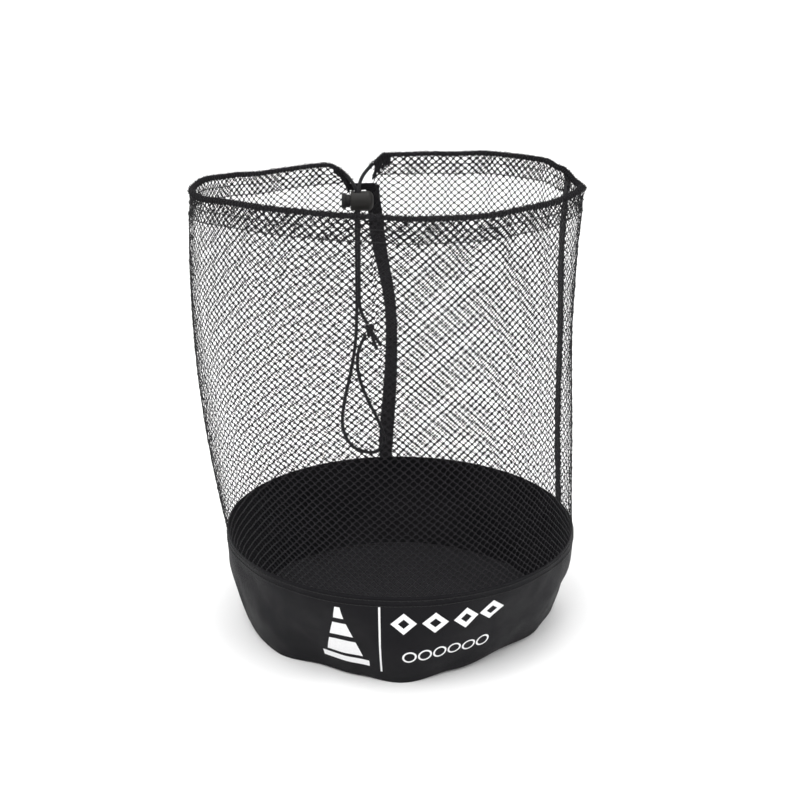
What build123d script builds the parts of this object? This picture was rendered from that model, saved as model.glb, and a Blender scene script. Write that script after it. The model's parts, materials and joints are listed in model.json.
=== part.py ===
from build123d import *
import os
from math import asin, degrees, pi, radians, sqrt, tan

# A round-bottomed ball bag that stands open: a fabric floor and side band, a net wall, a hem with
# a drawstring in it, a cord lock on the drawstring and a webbing strap down the rear.
# Millimetres, +Z up, +Y to the rear. The origin is the centre of the floor's underside.

os.makedirs("parts", exist_ok=True)

# Base: floor disc and side band
FLOOR_R = 146.0
FLOOR_T = 1.6
BAND_MID_R = 158.5
BAND_MID_Z = 38.0
BAND_TOP_R = 162.0
BAND_TOP_Z = 92.0
BAND_T = 1.4
BAND_WIDEST_R = 162.6

# Mouth: a four-arc oval in the hem's plane
MOUTH_X = -12.0
MOUTH_A = 170.0
MOUTH_B = 150.0
MOUTH_SIDE_OFFSET = 45.0
HEM_BOTTOM_Z = 384.0
TUNNEL_Z = 404.5
MOUTH_GAP_X = (-72.0, -24.0)
CORD_EXIT_GAP = 1.5

# Net wall
NET_T = 0.8
NET_MID_Z = 270.0
NET_MID_X = -13.0
NET_MID_A = 167.5
NET_MID_B = 155.0
SEAM_GAP = 0.2
SIDE_SEAM_ANGLE = 16.0
SIDE_SEAM_W = 8.0
SIDE_SEAM_T = 1.0

# Hem and sewing thread
HEM_LEG_T = 1.6
TUNNEL_OUTER_R = 3.0
TUNNEL_BORE_R = 1.95
THREAD_R = 0.4
HEM_STITCH_Z = 397.0
BAND_STITCH_Z = 86.0

# Drawstring
CORD_D = 3.5
CORD_FIT_R = 0.45
LEFT_ROUTE = [
    (MOUTH_GAP_X[0] + CORD_EXIT_GAP, 140.1, TUNNEL_Z),
    (-63.5, 142.5, 402.3),
    (-55.0, 144.9, 396.5),
    (-48.0, 144.5, 390.0),
    (-42.2, 138.6, 382.0),
    (-42.2, 138.6, 264.0),
    (-43.5, 139.0, 226.0),
    (-49.0, 140.0, 193.0),
    (-56.5, 141.0, 161.0),
    (-59.5, 142.0, 133.0),
    (-50.5, 143.0, 111.5),
    (-34.5, 143.5, 103.5),
    (-19.5, 142.5, 105.5),
    (-13.5, 140.5, 119.5),
    (-20.5, 138.0, 141.0),
    (-30.0, 136.0, 160.5),
    (-38.0, 134.5, 180.0),
    (-42.5, 133.5, 200.0),
    (-41.5, 133.2, 221.0),
    (-33.5, 134.6, 234.5),
]
RIGHT_ROUTE = [
    (MOUTH_GAP_X[1] - CORD_EXIT_GAP, 149.6, TUNNEL_Z),
    (-32.0, 147.0, 398.5),
    (-37.5, 140.5, 391.0),
    (-39.8, 134.4, 382.0),
    (-39.8, 134.4, 266.0),
    (-37.0, 134.8, 255.0),
    (-31.5, 135.6, 246.0),
]
KNOT_CENTRE = (-29.6, 135.6, 240.0)
KNOT_R = 4.2
KNOT_L = 11.5
KNOT_ROUND = 3.4
KNOT_LEAN = 12.0
TAIL_ENDS = [(-18.5, 136.6, 222.0), (-22.0, 133.2, 219.0)]

# Cord lock: a barrel along X, its button to the left, its cord hole straight down
LOCK_Y = 136.5
LOCK_Z = 370.0
LOCK_HOLE_X = -41.0
LOCK_BODY_X = (-47.4, -25.2)
LOCK_BODY_R = 9.75
LOCK_BODY_ROUND = 6.0
LOCK_LIP_ROUND = 1.0
LOCK_BORE_R = 6.6
LOCK_BORE_END_X = -28.4
LOCK_HOLE_W = 7.4
LOCK_HOLE_L = 9.5
LOCK_HOLE_ROUND = 1.9
BUTTON_HEAD_X = (-56.2, -51.8)
BUTTON_HEAD_R = 7.75
BUTTON_HEAD_ROUND = 1.4
BUTTON_STEM_R = 6.3
BUTTON_STEM_END_X = -33.6
BUTTON_SLOT_X = (-48.4, -37.8)
SPRING_POCKET_R = 4.2
SPRING_POCKET_DEPTH = 2.6
SPRING_WIRE_R = 0.35
SPRING_COIL_R = 3.3
SPRING_TURNS = 3.5

# Webbing strap, bowed out behind the net and a little to the right. Each sewn end lies flat on
# the bag for TAB_L and then leans out to where the free span starts.
STRAP_W = 15.0
STRAP_T = 1.5
STRAP_TOP = (-25.5, 156.5, 366.0)
STRAP_BOTTOM = (-13.5, 167.5, 100.0)
STRAP_BOW = 25.0
STRAP_BOW_SIDE = 0.45
STRAP_END_GAP = 0.4
TOP_TAB_Y = 151.2
TOP_TAB_Z = 383.5
BOTTOM_TAB_Y = 163.6
BOTTOM_TAB_Z = 78.0
TAB_L = 12.0
TACK_T = 0.5
TACK_W = 13.0
TACK_L = 9.0


def mouth_arcs(offset=0.0):
    """Side-arc centre, rear-arc centre and both radii of the mouth oval moved outwards by offset."""
    excess = MOUTH_A - MOUTH_B
    side = MOUTH_SIDE_OFFSET
    rear = excess * (2 * side - excess) / (2 * (side - excess))
    return side, rear, MOUTH_A - side + offset, MOUTH_B + rear + offset


def mouth_path(z, offset=0.0):
    """The mouth oval at height z as an open wire, from the right of the rear gap round to its left."""
    side, rear, side_r, long_r = mouth_arcs(offset)
    join = degrees(asin(rear / sqrt(side**2 + rear**2)))
    ends = [degrees(asin((x - MOUTH_X) / long_r)) for x in MOUTH_GAP_X]
    right = CenterArc((MOUTH_X, -rear, z), long_r, 90 - ends[1], ends[1] - 90 + join)
    east = CenterArc((MOUTH_X + side, 0, z), side_r, join, -2 * join)
    front = CenterArc((MOUTH_X, rear, z), long_r, -join, 2 * join - 180)
    west = CenterArc((MOUTH_X - side, 0, z), side_r, 180 + join, -2 * join)
    left = CenterArc((MOUTH_X, -rear, z), long_r, 180 - join, join - 90 - ends[0])
    return Wire([edge for arc in (right, east, front, west, left) for edge in arc.edges()])


def along(path, profile):
    """Sweep a profile drawn in the XY plane, its +Y upwards, along a level path."""
    start = Plane(origin=path @ 0, x_dir=Vector(0, 0, 1).cross(path % 0), z_dir=path % 0)
    return sweep(start * profile, path=path)


def tube(points, radii, r):
    """A round tube on straight runs joined by tangent arcs."""
    path = FilletPolyline(*points, radius=radii)
    start = Plane(origin=path @ 0, z_dir=path % 0)
    return sweep(start * Circle(r), path=path), path.length


def arc_radii(points):
    """The largest arc that the two runs at each corner leave room for."""
    radii = []
    for before, here, after in zip(points, points[1:], points[2:]):
        run_in = Vector(here) - Vector(before)
        run_out = Vector(after) - Vector(here)
        half_turn = radians(run_in.get_angle(run_out)) / 2
        radii.append(CORD_FIT_R * min(run_in.length, run_out.length) / tan(half_turn))
    return radii


def net_shell(inner, outer):
    """The net tube between two offsets from its middle surface."""
    walls = []
    for offset in (inner, outer):
        bottom = Ellipse(BAND_TOP_R - BAND_T / 2 + offset, BAND_TOP_R - BAND_T / 2 + offset - 0.01)
        middle = Ellipse(NET_MID_A + offset, NET_MID_B + offset)
        top = Ellipse(MOUTH_A + offset, MOUTH_B + offset)
        sections = [
            Plane.XY.offset(BAND_TOP_Z + SEAM_GAP) * bottom,
            Plane((NET_MID_X, 0, NET_MID_Z)) * middle,
            Plane((MOUTH_X, 0, HEM_BOTTOM_Z - SEAM_GAP)) * top,
        ]
        walls.append(loft(sections))
    return walls[1] - walls[0]


def make_base():
    floor = Pos(0, 0, FLOOR_T / 2) * Cylinder(FLOOR_R, FLOOR_T)
    outer = [(FLOOR_R, FLOOR_T), (BAND_MID_R, BAND_MID_Z), (BAND_TOP_R, BAND_TOP_Z)]
    inner = [(r - BAND_T, z) for r, z in outer]
    outline = Curve() + [
        ThreePointArc(*outer),
        Line(outer[2], inner[2]),
        ThreePointArc(*inner[::-1]),
        Line(inner[0], outer[0]),
    ]
    band = revolve(Plane.XZ * make_face(outline.edges()), Axis.Z)
    stitching = Pos(0, 0, BAND_STITCH_Z) * Torus(BAND_WIDEST_R + THREAD_R, THREAD_R)
    return {"base_floor": floor, "base_band": band, "band_stitching": stitching}


def make_net():
    wall = net_shell(-NET_T / 2, NET_T / 2)
    strip = net_shell(NET_T / 2 + SEAM_GAP, NET_T / 2 + SEAM_GAP + SIDE_SEAM_T)
    reach = 2 * MOUTH_A
    cutter = Pos(reach / 2, 0, HEM_BOTTOM_Z / 2) * Box(reach, SIDE_SEAM_W, 2 * HEM_BOTTOM_Z)
    seam = strip & (Rot(0, 0, SIDE_SEAM_ANGLE) * cutter)
    return {"net_wall": wall, "side_seam": seam}


def make_hem():
    tunnel_low = HEM_BOTTOM_Z - TUNNEL_Z
    leg = Pos(0, tunnel_low / 2) * Rectangle(HEM_LEG_T, -tunnel_low)
    profile = Circle(TUNNEL_OUTER_R) + leg - Circle(TUNNEL_BORE_R)
    hem = along(mouth_path(TUNNEL_Z), profile)
    thread_path = mouth_path(HEM_STITCH_Z, HEM_LEG_T / 2 + THREAD_R)
    return {
        "mouth_hem": hem,
        "hem_stitching": along(thread_path, Circle(THREAD_R)),
        "drawstring_in_hem": along(mouth_path(TUNNEL_Z), Circle(CORD_D / 2)),
    }


def make_drawstring():
    made = {}
    for name, route in (("drawstring_left", LEFT_ROUTE), ("drawstring_right", RIGHT_ROUTE)):
        radii = arc_radii(route)
        made[name], length = tube(route, radii, CORD_D / 2)
        section = pi * (CORD_D / 2) ** 2
        print(name, "radii", [round(r, 1) for r in radii])
        print(name, "length", round(length, 1), "volume", round(made[name].volume, 1))
        print(name, "section x length", round(section * length, 1))
    centre = Vector(KNOT_CENTRE)
    knot = Cylinder(KNOT_R, KNOT_L)
    knot = fillet(knot.edges().filter_by(GeomType.CIRCLE), KNOT_ROUND)
    knot = Rot(0, -KNOT_LEAN, 0) * knot
    for end in TAIL_ENDS:
        tail = Vector(end) - centre
        start = Plane(origin=(0, 0, 0), z_dir=tail)
        knot += start * Pos(0, 0, tail.length / 2) * Cylinder(CORD_D / 2, tail.length)
    made["drawstring_knot"] = Pos(centre) * knot
    return made


def barrel(x_range, r):
    """A cylinder on the lock's axis between two places along X."""
    length = x_range[1] - x_range[0]
    middle = (x_range[0] + x_range[1]) / 2
    return Pos(middle, LOCK_Y, LOCK_Z) * Rot(0, 90, 0) * Cylinder(r, length)


def slot(x_range):
    """A round-ended slot straight down through the lock between two places along X."""
    length = x_range[1] - x_range[0]
    middle = (x_range[0] + x_range[1]) / 2
    shape = RectangleRounded(length, LOCK_HOLE_L, LOCK_HOLE_ROUND)
    return Pos(middle, LOCK_Y, LOCK_Z - 2 * LOCK_BODY_R) * extrude(shape, 4 * LOCK_BODY_R)


def make_lock():
    body = barrel(LOCK_BODY_X, LOCK_BODY_R)
    ends = body.edges().sort_by(Axis.X)
    body = fillet(ends[-1], LOCK_BODY_ROUND)
    body = fillet(body.edges().sort_by(Axis.X)[0], LOCK_LIP_ROUND)
    body -= barrel((LOCK_BODY_X[0] - 1, LOCK_BORE_END_X), LOCK_BORE_R)
    half = LOCK_HOLE_W / 2
    body -= slot((LOCK_HOLE_X - half, LOCK_HOLE_X + half))

    head = barrel(BUTTON_HEAD_X, BUTTON_HEAD_R)
    head = fillet(head.edges().filter_by(GeomType.CIRCLE), BUTTON_HEAD_ROUND)
    button = head + barrel((BUTTON_HEAD_X[1] - 1, BUTTON_STEM_END_X), BUTTON_STEM_R)
    pocket_x = BUTTON_STEM_END_X - SPRING_POCKET_DEPTH
    button -= barrel((pocket_x, BUTTON_STEM_END_X + 1), SPRING_POCKET_R)
    button -= slot(BUTTON_SLOT_X)

    spring_x = (pocket_x + SPRING_WIRE_R, LOCK_BORE_END_X - SPRING_WIRE_R)
    height = spring_x[1] - spring_x[0]
    line = Helix(height / SPRING_TURNS, height, SPRING_COIL_R)
    wire = sweep(Plane(origin=line @ 0, z_dir=line % 0) * Circle(SPRING_WIRE_R), path=line)
    spring = Pos(spring_x[0], LOCK_Y, LOCK_Z) * Rot(0, 90, 0) * wire
    return {"lock_body": body, "lock_button": button, "lock_spring": spring}


def sewn_end(free_end, tab_y, tab_z, away):
    """The flat tab of webbing on the bag and its lean out to free_end; away is 1 at the top."""
    fold_z = tab_z - away * TAB_L
    out_y = free_end[1] + STRAP_T
    out_z = free_end[2] + away * STRAP_END_GAP
    side = [
        (tab_y, tab_z),
        (tab_y, fold_z),
        (free_end[1], out_z),
        (out_y, out_z + away * STRAP_T / 2),
        (tab_y + STRAP_T, fold_z + away * STRAP_T / 2),
        (tab_y + STRAP_T, tab_z),
    ]
    face = Plane.YZ.offset(free_end[0]) * make_face(Polyline(*side, close=True).edges())
    return extrude(face, STRAP_W / 2, both=True)


def make_strap():
    top, bottom = Vector(STRAP_TOP), Vector(STRAP_BOTTOM)
    chord = bottom - top
    bow = Vector(STRAP_BOW_SIDE, 1, 0)
    bow = (bow - chord.normalized() * bow.dot(chord.normalized())).normalized()
    across = chord.cross(bow).normalized()
    flat = Plane(origin=top, x_dir=chord, z_dir=across)
    sign = 1 if flat.y_dir.dot(bow) > 0 else -1
    middle = [(chord.length / 2, sign * (STRAP_BOW + t)) for t in (0, STRAP_T)]
    ends = [[(x, sign * t) for x in (0, chord.length)] for t in (0, STRAP_T)]
    outline = Curve() + [
        ThreePointArc(ends[0][0], middle[0], ends[0][1]),
        Line(ends[0][1], ends[1][1]),
        ThreePointArc(ends[1][1], middle[1], ends[1][0]),
        Line(ends[1][0], ends[0][0]),
    ]
    ribbon = extrude(flat * make_face(outline.edges()), STRAP_W / 2, both=True)
    made = {"carry_strap": ribbon}
    ends = (
        ("top", STRAP_TOP, TOP_TAB_Y, TOP_TAB_Z, 1),
        ("bottom", STRAP_BOTTOM, BOTTOM_TAB_Y, BOTTOM_TAB_Z, -1),
    )
    for name, free_end, tab_y, tab_z, away in ends:
        made[f"strap_{name}_end"] = sewn_end(free_end, tab_y, tab_z, away)
        tack = Pos(free_end[0], tab_y + STRAP_T + TACK_T / 2, tab_z - away * TAB_L / 2)
        made[f"strap_{name}_tack"] = tack * Box(TACK_W, TACK_T, TACK_L)
    return made


def main():
    parts = {}
    for make in (make_base, make_net, make_hem, make_drawstring, make_lock, make_strap):
        parts.update(make())
    for name, shape in parts.items():
        shape.label = name
        export_step(shape, f"parts/{name}.step")
        print(name, round(shape.volume, 1), "mm3")


main()
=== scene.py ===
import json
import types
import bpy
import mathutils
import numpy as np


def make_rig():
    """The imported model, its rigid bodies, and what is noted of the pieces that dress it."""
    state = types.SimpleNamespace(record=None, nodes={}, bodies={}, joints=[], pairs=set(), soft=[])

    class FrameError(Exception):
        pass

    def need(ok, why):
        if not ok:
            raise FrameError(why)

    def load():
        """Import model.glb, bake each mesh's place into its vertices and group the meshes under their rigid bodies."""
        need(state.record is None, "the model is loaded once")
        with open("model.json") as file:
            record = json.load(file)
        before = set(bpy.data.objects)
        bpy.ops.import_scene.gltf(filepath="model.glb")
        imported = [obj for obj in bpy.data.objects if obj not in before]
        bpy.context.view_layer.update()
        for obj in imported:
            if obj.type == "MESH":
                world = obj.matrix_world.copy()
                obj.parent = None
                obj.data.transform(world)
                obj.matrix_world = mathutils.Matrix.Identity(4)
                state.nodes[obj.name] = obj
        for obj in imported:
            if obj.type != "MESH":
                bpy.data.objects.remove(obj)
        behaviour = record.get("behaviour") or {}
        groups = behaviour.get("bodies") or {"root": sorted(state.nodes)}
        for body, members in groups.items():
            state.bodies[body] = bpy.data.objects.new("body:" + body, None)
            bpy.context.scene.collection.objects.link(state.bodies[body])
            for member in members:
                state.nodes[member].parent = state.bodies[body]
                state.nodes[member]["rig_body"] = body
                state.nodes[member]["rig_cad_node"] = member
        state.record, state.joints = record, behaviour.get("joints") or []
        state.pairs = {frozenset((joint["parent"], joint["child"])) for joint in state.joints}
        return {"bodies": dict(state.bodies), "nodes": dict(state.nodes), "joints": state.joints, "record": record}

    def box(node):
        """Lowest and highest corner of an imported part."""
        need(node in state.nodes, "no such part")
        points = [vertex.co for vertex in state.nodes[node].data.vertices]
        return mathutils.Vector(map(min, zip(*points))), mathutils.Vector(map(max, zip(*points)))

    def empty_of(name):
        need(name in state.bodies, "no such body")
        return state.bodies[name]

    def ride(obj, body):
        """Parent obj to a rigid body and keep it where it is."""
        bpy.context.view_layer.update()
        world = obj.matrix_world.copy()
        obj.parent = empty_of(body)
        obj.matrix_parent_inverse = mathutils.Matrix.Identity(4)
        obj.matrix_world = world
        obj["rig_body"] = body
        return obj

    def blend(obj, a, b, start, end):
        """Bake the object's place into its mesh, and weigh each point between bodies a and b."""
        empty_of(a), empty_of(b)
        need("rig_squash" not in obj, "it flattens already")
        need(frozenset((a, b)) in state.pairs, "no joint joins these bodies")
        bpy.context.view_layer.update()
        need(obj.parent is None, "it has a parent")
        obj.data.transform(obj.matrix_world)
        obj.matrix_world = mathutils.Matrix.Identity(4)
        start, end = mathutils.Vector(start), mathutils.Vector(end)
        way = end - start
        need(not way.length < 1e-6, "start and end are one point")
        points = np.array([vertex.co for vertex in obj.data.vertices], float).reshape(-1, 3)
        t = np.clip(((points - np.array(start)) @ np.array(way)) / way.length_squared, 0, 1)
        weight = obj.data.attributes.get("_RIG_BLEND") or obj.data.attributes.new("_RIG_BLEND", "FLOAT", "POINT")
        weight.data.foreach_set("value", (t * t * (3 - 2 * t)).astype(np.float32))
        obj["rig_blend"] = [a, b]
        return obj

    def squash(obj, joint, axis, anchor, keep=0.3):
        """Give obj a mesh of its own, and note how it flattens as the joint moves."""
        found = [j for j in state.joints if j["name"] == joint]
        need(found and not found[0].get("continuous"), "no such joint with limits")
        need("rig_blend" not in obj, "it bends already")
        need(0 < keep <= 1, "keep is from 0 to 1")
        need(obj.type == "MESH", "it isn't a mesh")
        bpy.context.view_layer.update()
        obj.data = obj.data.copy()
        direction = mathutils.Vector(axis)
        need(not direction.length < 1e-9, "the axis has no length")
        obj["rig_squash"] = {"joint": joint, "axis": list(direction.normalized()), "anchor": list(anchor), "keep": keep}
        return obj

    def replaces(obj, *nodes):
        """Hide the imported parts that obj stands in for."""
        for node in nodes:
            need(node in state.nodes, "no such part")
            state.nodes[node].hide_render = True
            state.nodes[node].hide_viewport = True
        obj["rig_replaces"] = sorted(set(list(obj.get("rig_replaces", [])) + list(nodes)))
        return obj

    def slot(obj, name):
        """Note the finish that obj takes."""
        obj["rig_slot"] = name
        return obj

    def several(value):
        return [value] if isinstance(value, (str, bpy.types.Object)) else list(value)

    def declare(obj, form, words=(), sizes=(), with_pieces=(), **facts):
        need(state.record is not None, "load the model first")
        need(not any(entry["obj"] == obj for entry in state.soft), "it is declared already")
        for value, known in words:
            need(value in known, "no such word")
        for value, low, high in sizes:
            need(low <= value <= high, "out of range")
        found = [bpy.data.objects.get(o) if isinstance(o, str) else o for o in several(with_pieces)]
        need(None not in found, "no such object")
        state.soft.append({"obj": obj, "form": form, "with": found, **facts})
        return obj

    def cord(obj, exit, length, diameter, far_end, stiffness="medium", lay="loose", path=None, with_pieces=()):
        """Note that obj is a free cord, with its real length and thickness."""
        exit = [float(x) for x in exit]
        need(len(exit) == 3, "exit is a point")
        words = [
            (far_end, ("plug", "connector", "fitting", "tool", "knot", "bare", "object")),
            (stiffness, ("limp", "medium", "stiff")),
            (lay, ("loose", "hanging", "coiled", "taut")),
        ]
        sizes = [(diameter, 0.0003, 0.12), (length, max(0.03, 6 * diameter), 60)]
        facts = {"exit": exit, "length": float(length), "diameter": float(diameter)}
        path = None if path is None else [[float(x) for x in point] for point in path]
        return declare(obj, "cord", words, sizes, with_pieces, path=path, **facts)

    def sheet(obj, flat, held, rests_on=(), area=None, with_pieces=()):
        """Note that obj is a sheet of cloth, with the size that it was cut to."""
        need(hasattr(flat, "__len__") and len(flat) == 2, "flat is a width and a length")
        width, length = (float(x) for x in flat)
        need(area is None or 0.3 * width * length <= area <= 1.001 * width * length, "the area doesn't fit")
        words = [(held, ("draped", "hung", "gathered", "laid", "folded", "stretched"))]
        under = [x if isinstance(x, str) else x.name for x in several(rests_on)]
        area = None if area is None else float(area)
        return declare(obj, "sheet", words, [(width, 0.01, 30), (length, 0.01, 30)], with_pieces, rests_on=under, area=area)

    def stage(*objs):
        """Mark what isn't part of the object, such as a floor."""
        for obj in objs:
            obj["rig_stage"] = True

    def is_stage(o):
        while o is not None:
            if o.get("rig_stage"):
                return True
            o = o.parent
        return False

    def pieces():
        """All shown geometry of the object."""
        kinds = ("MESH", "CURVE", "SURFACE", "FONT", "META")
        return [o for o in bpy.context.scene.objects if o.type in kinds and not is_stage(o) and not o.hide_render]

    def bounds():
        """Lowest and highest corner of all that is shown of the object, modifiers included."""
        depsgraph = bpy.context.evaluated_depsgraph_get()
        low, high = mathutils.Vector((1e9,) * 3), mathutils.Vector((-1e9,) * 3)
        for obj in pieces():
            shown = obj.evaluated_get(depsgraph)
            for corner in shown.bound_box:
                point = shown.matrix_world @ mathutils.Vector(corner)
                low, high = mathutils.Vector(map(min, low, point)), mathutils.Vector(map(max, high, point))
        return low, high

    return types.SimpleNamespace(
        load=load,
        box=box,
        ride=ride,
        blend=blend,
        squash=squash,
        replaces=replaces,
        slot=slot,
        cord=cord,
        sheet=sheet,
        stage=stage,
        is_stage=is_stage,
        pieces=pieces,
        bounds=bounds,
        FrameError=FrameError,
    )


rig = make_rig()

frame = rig.load()

import json
import math

import bpy
import numpy as np
from mathutils import Vector, noise

CAD_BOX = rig.bounds()
MM = 0.001

# ---------------------------------------------------------------- sizes read from the frame


def node_box(name):
    """The lowest and the highest corner of a CAD node."""
    return tuple(np.array(corner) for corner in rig.box(name))


RIM_LOW, RIM_HIGH = node_box("drawstring_in_hem")
CORD_R = (RIM_HIGH[2] - RIM_LOW[2]) / 2
RIM_Z = (RIM_HIGH[2] + RIM_LOW[2]) / 2
MOUTH_X = (RIM_LOW[0] + RIM_HIGH[0]) / 2
MOUTH_A = (RIM_HIGH[0] - RIM_LOW[0]) / 2 - CORD_R
MOUTH_B = (RIM_HIGH[1] - RIM_LOW[1]) / 2 - CORD_R
BAND_R, BAND_Z = node_box("base_band")[1][1:]
HEM_DEPTH = RIM_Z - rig.box("mouth_hem")[0][2]

# ---------------------------------------------------------------- camera


def make_camera():
    """Looks slightly down at the front of the bag, from a little more than a metre away."""
    data = bpy.data.cameras.new("camera")
    camera = bpy.data.objects.new("camera", data)
    bpy.context.scene.collection.objects.link(camera)
    camera.location = (-0.011, -1.129, 0.592)
    camera.rotation_euler = (math.radians(90 - 18.8), 0, 0)
    data.lens = 58.4
    data.sensor_width = 36
    data.shift_x = 0.015
    data.shift_y = 0.00375
    data.clip_start = 0.02
    bpy.context.scene.camera = camera


make_camera()

# ---------------------------------------------------------------- mesh and node helpers


def mesh_piece(name, points, faces, weave=None):
    """A mesh object; weave holds two lengths along the cloth for each point, in metres."""
    mesh = bpy.data.meshes.new(name)
    mesh.from_pydata([tuple(p) for p in points], [], [tuple(f) for f in faces])
    mesh.shade_smooth()
    if weave is not None:
        flat = np.zeros((len(points), 3), np.float32)
        flat[:, : weave.shape[1]] = weave
        layer = mesh.attributes.new("weave", "FLOAT_VECTOR", "POINT")
        layer.data.foreach_set("vector", flat.ravel())
    mesh.update()
    piece = bpy.data.objects.new(name, mesh)
    bpy.context.scene.collection.objects.link(piece)
    return piece


def grid_faces(rows, columns, wrap_rows=False, wrap_columns=False):
    """Quads of a grid of points stored row by row."""
    r = np.arange(rows if wrap_rows else rows - 1)
    c = np.arange(columns if wrap_columns else columns - 1)
    r, c = (m.ravel() for m in np.meshgrid(r, c, indexing="ij"))
    up, on = (r + 1) % rows, (c + 1) % columns
    return np.stack([r * columns + c, r * columns + on, up * columns + on, up * columns + c], 1)


def tube_faces(rows, columns):
    """Faces of a tube whose rings are stored one after another, with both ends capped."""
    faces = grid_faces(rows, columns, wrap_columns=True).tolist()
    faces.append(list(range(columns))[::-1])
    faces.append(list(range((rows - 1) * columns, rows * columns)))
    return faces


def joined(tubes):
    """Points and faces of several tubes as one mesh."""
    vertices, faces = [], []
    for points, tube, _ in tubes:
        faces += [[k + len(vertices) for k in face] for face in tube]
        vertices += points.tolist()
    return vertices, faces


def unit(v):
    return v / np.maximum(np.linalg.norm(v, axis=-1, keepdims=True), 1e-12)


def lengths(line):
    """The length along a line at each of its points."""
    return np.concatenate([[0], np.cumsum(np.linalg.norm(np.diff(line, axis=0), axis=1))])


def smooth_step(low, high, x):
    """0 below low, 1 above high, and an even change between them."""
    t = np.clip((np.asarray(x, float) - low) / (high - low), 0, 1)
    return t * t * (3 - 2 * t)


def soft_noise(points, scale, seed):
    """Smooth noise from about -1 to 1 at each point."""
    shift = Vector((seed * 7.31, seed * 3.77, seed * 5.13))
    return np.array([noise.noise(Vector(p) * (1 / scale) + shift) for p in points])


def periodic(angles, table):
    """Smooth values round the bag from (degrees, value, ...) rows."""
    rows = sorted((a % 360, *values) for a, *values in table)
    at = np.array([r[0] for r in rows])
    values = np.array([r[1:] for r in rows])
    at = np.concatenate([at[-1:] - 360, at, at[:1] + 360])
    values = np.concatenate([values[-1:], values, values[:1]])
    asked = np.degrees(angles) % 360
    where = np.clip(np.searchsorted(at, asked, side="right") - 1, 0, len(at) - 2)
    t = ((asked - at[where]) / (at[where + 1] - at[where]))[..., None]
    t = t * t * (3 - 2 * t)
    return values[where] * (1 - t) + values[where + 1] * t


def tube_mesh(path, radius, sides, up=(0, 0, 1), closed=False):
    """Points, faces and lengths of a tube; radius is a number or a rings by sides array."""
    path = np.asarray(path, float)
    if closed:
        along = unit(np.roll(path, -1, 0) - np.roll(path, 1, 0))
    else:
        along = unit(np.gradient(path, axis=0))
    across = np.zeros_like(path)
    across[0] = unit(np.cross(along[0], up))
    for i in range(1, len(path)):
        across[i] = unit(across[i - 1] - along[i] * np.dot(across[i - 1], along[i]))
    third = np.cross(along, across)
    turn = np.linspace(0, 2 * math.pi, sides, endpoint=False)
    ring = across[:, None] * np.cos(turn)[None, :, None] + third[:, None] * np.sin(turn)[None, :, None]
    radius = np.broadcast_to(radius, (len(path), sides))
    points = path[:, None] + ring * radius[..., None]
    weave = np.stack(np.broadcast_arrays(turn[None] * CORD_R, lengths(path)[:, None]), -1)
    if closed:
        faces = grid_faces(len(path), sides, wrap_rows=True, wrap_columns=True).tolist()
    else:
        faces = tube_faces(len(path), sides)
    return points.reshape(-1, 3), faces, weave.reshape(-1, 2)


def nurbs_line(name, points):
    """The smooth line of a cord's route, as points close together."""
    curve = bpy.data.curves.new(name, "CURVE")
    curve.dimensions = "3D"
    spline = curve.splines.new("NURBS")
    spline.points.add(len(points) - 1)
    for place, p in zip(spline.points, points):
        place.co = (*p, 1)
    spline.order_u = 3
    spline.use_endpoint_u = True
    spline.resolution_u = 16
    holder = bpy.data.objects.new(name, curve)
    mesh = bpy.data.meshes.new_from_object(holder)
    line = np.array([tuple(v.co) for v in mesh.vertices])
    bpy.data.objects.remove(holder)
    bpy.data.curves.remove(curve)
    bpy.data.meshes.remove(mesh)
    return line


def resample(line, step):
    """The same line with its points an even step apart."""
    length = lengths(line)
    at = np.linspace(0, length[-1], max(2, int(round(length[-1] / step)) + 1))
    return np.stack([np.interp(at, length, line[:, k]) for k in range(3)], 1)


def ripples(waves_round, theta, t):
    """Sum of waves round the bag, from rows of (size, waves round, lean with height, phase)."""
    return sum(size * np.sin(count * theta + lean * t + phase) for size, count, lean, phase in waves_round)


# ---------------------------------------------------------------- materials

WEAVE_PITCH = 0.9 * MM
BRAID_YARN_PITCH = 1.1 * MM
TWILL_PITCH = 1.3 * MM
RIB_PITCH = 1.1 * MM


def principled(name, colour, roughness, **inputs):
    """A new material with its node tree and shader; other inputs have _ for each space."""
    material = bpy.data.materials.new(name)
    material.use_nodes = True
    shader = material.node_tree.nodes["Principled BSDF"]
    shader.inputs["Base Color"].default_value = (*colour, 1)
    shader.inputs["Roughness"].default_value = roughness
    for label, value in inputs.items():
        shader.inputs[label.replace("_", " ")].default_value = value
    return material, material.node_tree, shader


def node(tree, kind, **values):
    made = tree.nodes.new(kind)
    for name, value in values.items():
        setattr(made, name, value)
    return made


def maths(tree, operation, a, b=None):
    made = node(tree, "ShaderNodeMath", operation=operation)
    for place, value in zip(made.inputs, (a, b)):
        if value is None:
            continue
        if isinstance(value, (int, float)):
            place.default_value = value
        else:
            tree.links.new(value, place)
    return made.outputs[0]


def noise_at(tree, where, scale, detail):
    made = node(tree, "ShaderNodeTexNoise")
    made.inputs["Scale"].default_value = scale
    made.inputs["Detail"].default_value = detail
    tree.links.new(where, made.inputs["Vector"])
    return made.outputs[0]


def waves(tree, value, pitch):
    """A sine of a length in metres, from -1 to 1, repeating at pitch."""
    return maths(tree, "SINE", maths(tree, "MULTIPLY", value, 2 * math.pi / pitch))


def tint(tree, shader, value, dark, light):
    """Colour the shader between dark and light by a value from 0 to 1."""
    ramp = node(tree, "ShaderNodeValToRGB")
    ramp.color_ramp.elements[0].color = (*dark, 1)
    ramp.color_ramp.elements[1].color = (*light, 1)
    tree.links.new(value, ramp.inputs[0])
    tree.links.new(ramp.outputs[0], shader.inputs["Base Color"])


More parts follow.
